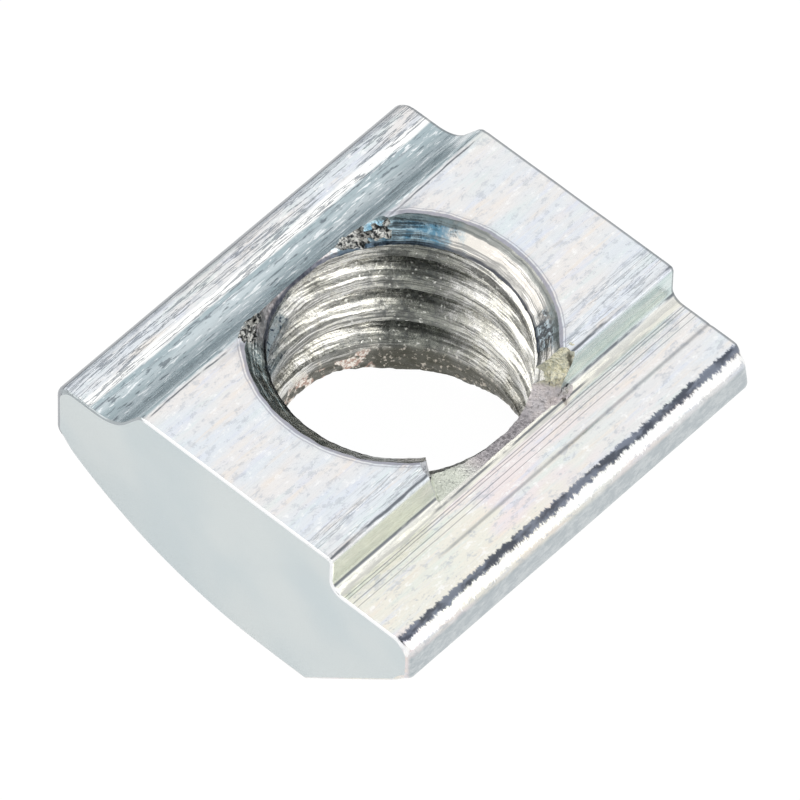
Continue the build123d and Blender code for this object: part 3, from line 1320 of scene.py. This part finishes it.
@dataclass(frozen=True)
class Card:
    """A card that faces the nut and shows only as a reflection: dark, or bright above strength 1.

    It hangs in a direction seen from the nut, wide across the bar and tall along it, both
    in degrees. Its shade is linear light.
    """

    name: str
    towards: tuple[float, float, float]
    wide: float
    tall: float
    shade: tuple[float, float, float]
    strength: float

    def corners(self) -> np.ndarray:
        """The four corners: the card's middle plus or minus half its width and its height."""
        far = 170.0 if self.strength > 1.0 else 150.0
        away = Vector(self.towards).normalized()
        side = Vector((0, 1, 0)).cross(away).normalized()
        rise = away.cross(side)
        half_wide = far * math.tan(math.radians(self.wide / 2))
        half_tall = far * math.tan(math.radians(self.tall / 2))
        return np.array([away * far + side * (a * half_wide) + rise * (b * half_tall)
                         for a, b in ((-1, -1), (1, -1), (1, 1), (-1, 1))])


@dataclass
class Studio:
    """Pale floor, soft lamps and the camera, sizes in millimetres and degrees."""

    azimuth: float = 40.96
    elevation: float = 52.65
    roll: float = 1.97
    distance: float = 232.0
    aim_right: float = 0.059
    aim_up: float = 1.387
    lens: float = 547.3
    floor_half: float = 400.0
    floor_drop: float = 0.004
    floor_glow: float = 1.06
    floor_glow_share: float = 0.92
    room_light: float = 0.8
    cards: tuple[Card, ...] = (
        Card("left_flag", (-0.87, 0.46, 0.16), 14.0, 46.0, srgb(196, 202, 206), 1.0),
        Card("camera_flag", (0.398, -0.458, 0.795), 30.0, 28.0, srgb(60, 68, 74), 1.0),
        Card("right_card", (0.85, 0.46, 0.26), 28.0, 44.0, (1.0, 1.0, 1.0), 1.4),
        Card("far_card", (0.60, 0.06, 0.79), 34.0, 34.0, (1.0, 0.99, 0.97), 2.9),
        Card("near_card", (-0.60, -0.40, 0.69), 34.0, 40.0, (1.0, 0.99, 0.97), 1.9),
    )

    def camera(self) -> None:
        """Makes the camera, turned round the nut by azimuth, elevation and roll."""
        az, el, roll = (math.radians(v) for v in (self.azimuth, self.elevation, self.roll))
        back = Vector((math.sin(az) * math.cos(el), -math.cos(az) * math.cos(el), math.sin(el)))
        level = Vector((math.cos(az), math.sin(az), 0.0))
        upright = back.cross(level)
        right = level * math.cos(roll) + upright * math.sin(roll)
        up = upright * math.cos(roll) - level * math.sin(roll)
        data = bpy.data.cameras.new("camera")
        data.lens = self.lens
        data.sensor_width = 36.0
        data.clip_start, data.clip_end = 0.001, 10.0
        camera = bpy.data.objects.new("camera", data)
        place = (back * self.distance + right * self.aim_right + up * self.aim_up) * MM
        turn = Matrix((right, up, back)).transposed().to_4x4()
        camera.matrix_world = Matrix.Translation(place) @ turn
        bpy.context.scene.collection.objects.link(camera)
        bpy.context.scene.camera = camera

    def seen(self, tree: bpy.types.NodeTree) -> Node:
        """1 for camera, glossy and transmission rays, 0 for the light that falls on things."""
        path = add(tree, "ShaderNodeLightPath", {}, {}, "Is Camera Ray")
        outputs = path.socket.node.outputs
        glossy, through = (Node(tree, outputs[name]) for name in ("Is Glossy Ray", "Is Transmission Ray"))
        return (path + glossy + through).clamp()

    def plate(self, name: str, corners: np.ndarray) -> tuple[bpy.types.Object, bpy.types.NodeTree]:
        """Makes a flat plate for the stage.

        Args:
            name: name of the plate.
            corners: its four corners, in millimetres.

        Returns:
            The plate, and the empty node tree of its material.
        """
        plate = mesh_object(name, corners, [np.array([[0, 1, 2, 3]])], [0])
        material = bpy.data.materials.new(name + "_paint")
        plate.data.materials.append(material)
        return plate, empty_tree(material)

    def floor(self) -> None:
        """Makes the pale floor under the nut, white where it is seen."""
        half, low = self.floor_half, -self.floor_drop
        corners = np.array([[-half, -half, low], [half, -half, low], [half, half, low], [-half, half, low]])
        tree = self.plate("floor", corners)[1]
        paper = add(tree, "ShaderNodeBsdfDiffuse", {}, {"Color": (0.86, 0.86, 0.86)})
        glow = add(tree, "ShaderNodeEmission", {}, {"Color": (1.0, 1.0, 1.0), "Strength": self.floor_glow})
        share = self.seen(tree) * self.floor_glow_share
        close_tree(add(tree, "ShaderNodeMixShader", {}, {0: share, 1: paper, 2: glow}))

    def world(self) -> None:
        """Makes a pale, even surrounding that is white where it is seen."""
        world = bpy.data.worlds.new("pale_room")
        bpy.context.scene.world = world
        tree = empty_tree(world)
        strength = self.seen(tree) * (1.0 - self.room_light) + self.room_light
        values = {"Color": (1.0, 1.0, 1.0), "Strength": strength}
        close_tree(add(tree, "ShaderNodeBackground", {}, values), "ShaderNodeOutputWorld")

    def lamp(self, name: str, place: tuple[float, float, float], size: float, power: float) -> None:
        """Makes one soft square lamp that points at the nut.

        Args:
            name: name of the lamp.
            place: where it hangs.
            size: length of its side.
            power: its power in milliwatts.
        """
        data = bpy.data.lights.new(name, "AREA")
        data.size = size * MM
        data.energy = power * MM
        lamp = bpy.data.objects.new(name, data)
        lamp.location = Vector(place) * MM
        lamp.rotation_mode = "QUATERNION"
        lamp.rotation_quaternion = Vector(place).to_track_quat("Z", "Y")
        bpy.context.scene.collection.objects.link(lamp)

    def hang(self, card: Card) -> None:
        """Makes one card, out of sight of the camera and without a shadow."""
        plate, tree = self.plate(card.name, card.corners())
        close_tree(add(tree, "ShaderNodeEmission", {}, {"Color": card.shade, "Strength": card.strength}))
        plate.visible_camera = False
        plate.visible_shadow = False
        plate.visible_diffuse = False

    def build(self) -> None:
        """Makes the whole studio."""
        self.floor()
        self.world()
        self.lamp("key_lamp", (-120.0, 140.0, 240.0), 160.0, 14.0)
        for card in self.cards:
            self.hang(card)
        self.camera()
        bpy.context.scene.view_settings.view_transform = "Standard"


def main() -> None:
    """Builds the nut and its studio, and reports each piece."""
    nut = SlotNut().build()
    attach(nut, "root")
    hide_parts("nut_body")
    log.info("%s: %d faces", nut.name, len(nut.data.polygons))
    Studio().build()
    log.info("studio ready")


if __name__ == "__main__":
    logging.basicConfig(level=logging.INFO)
    main()
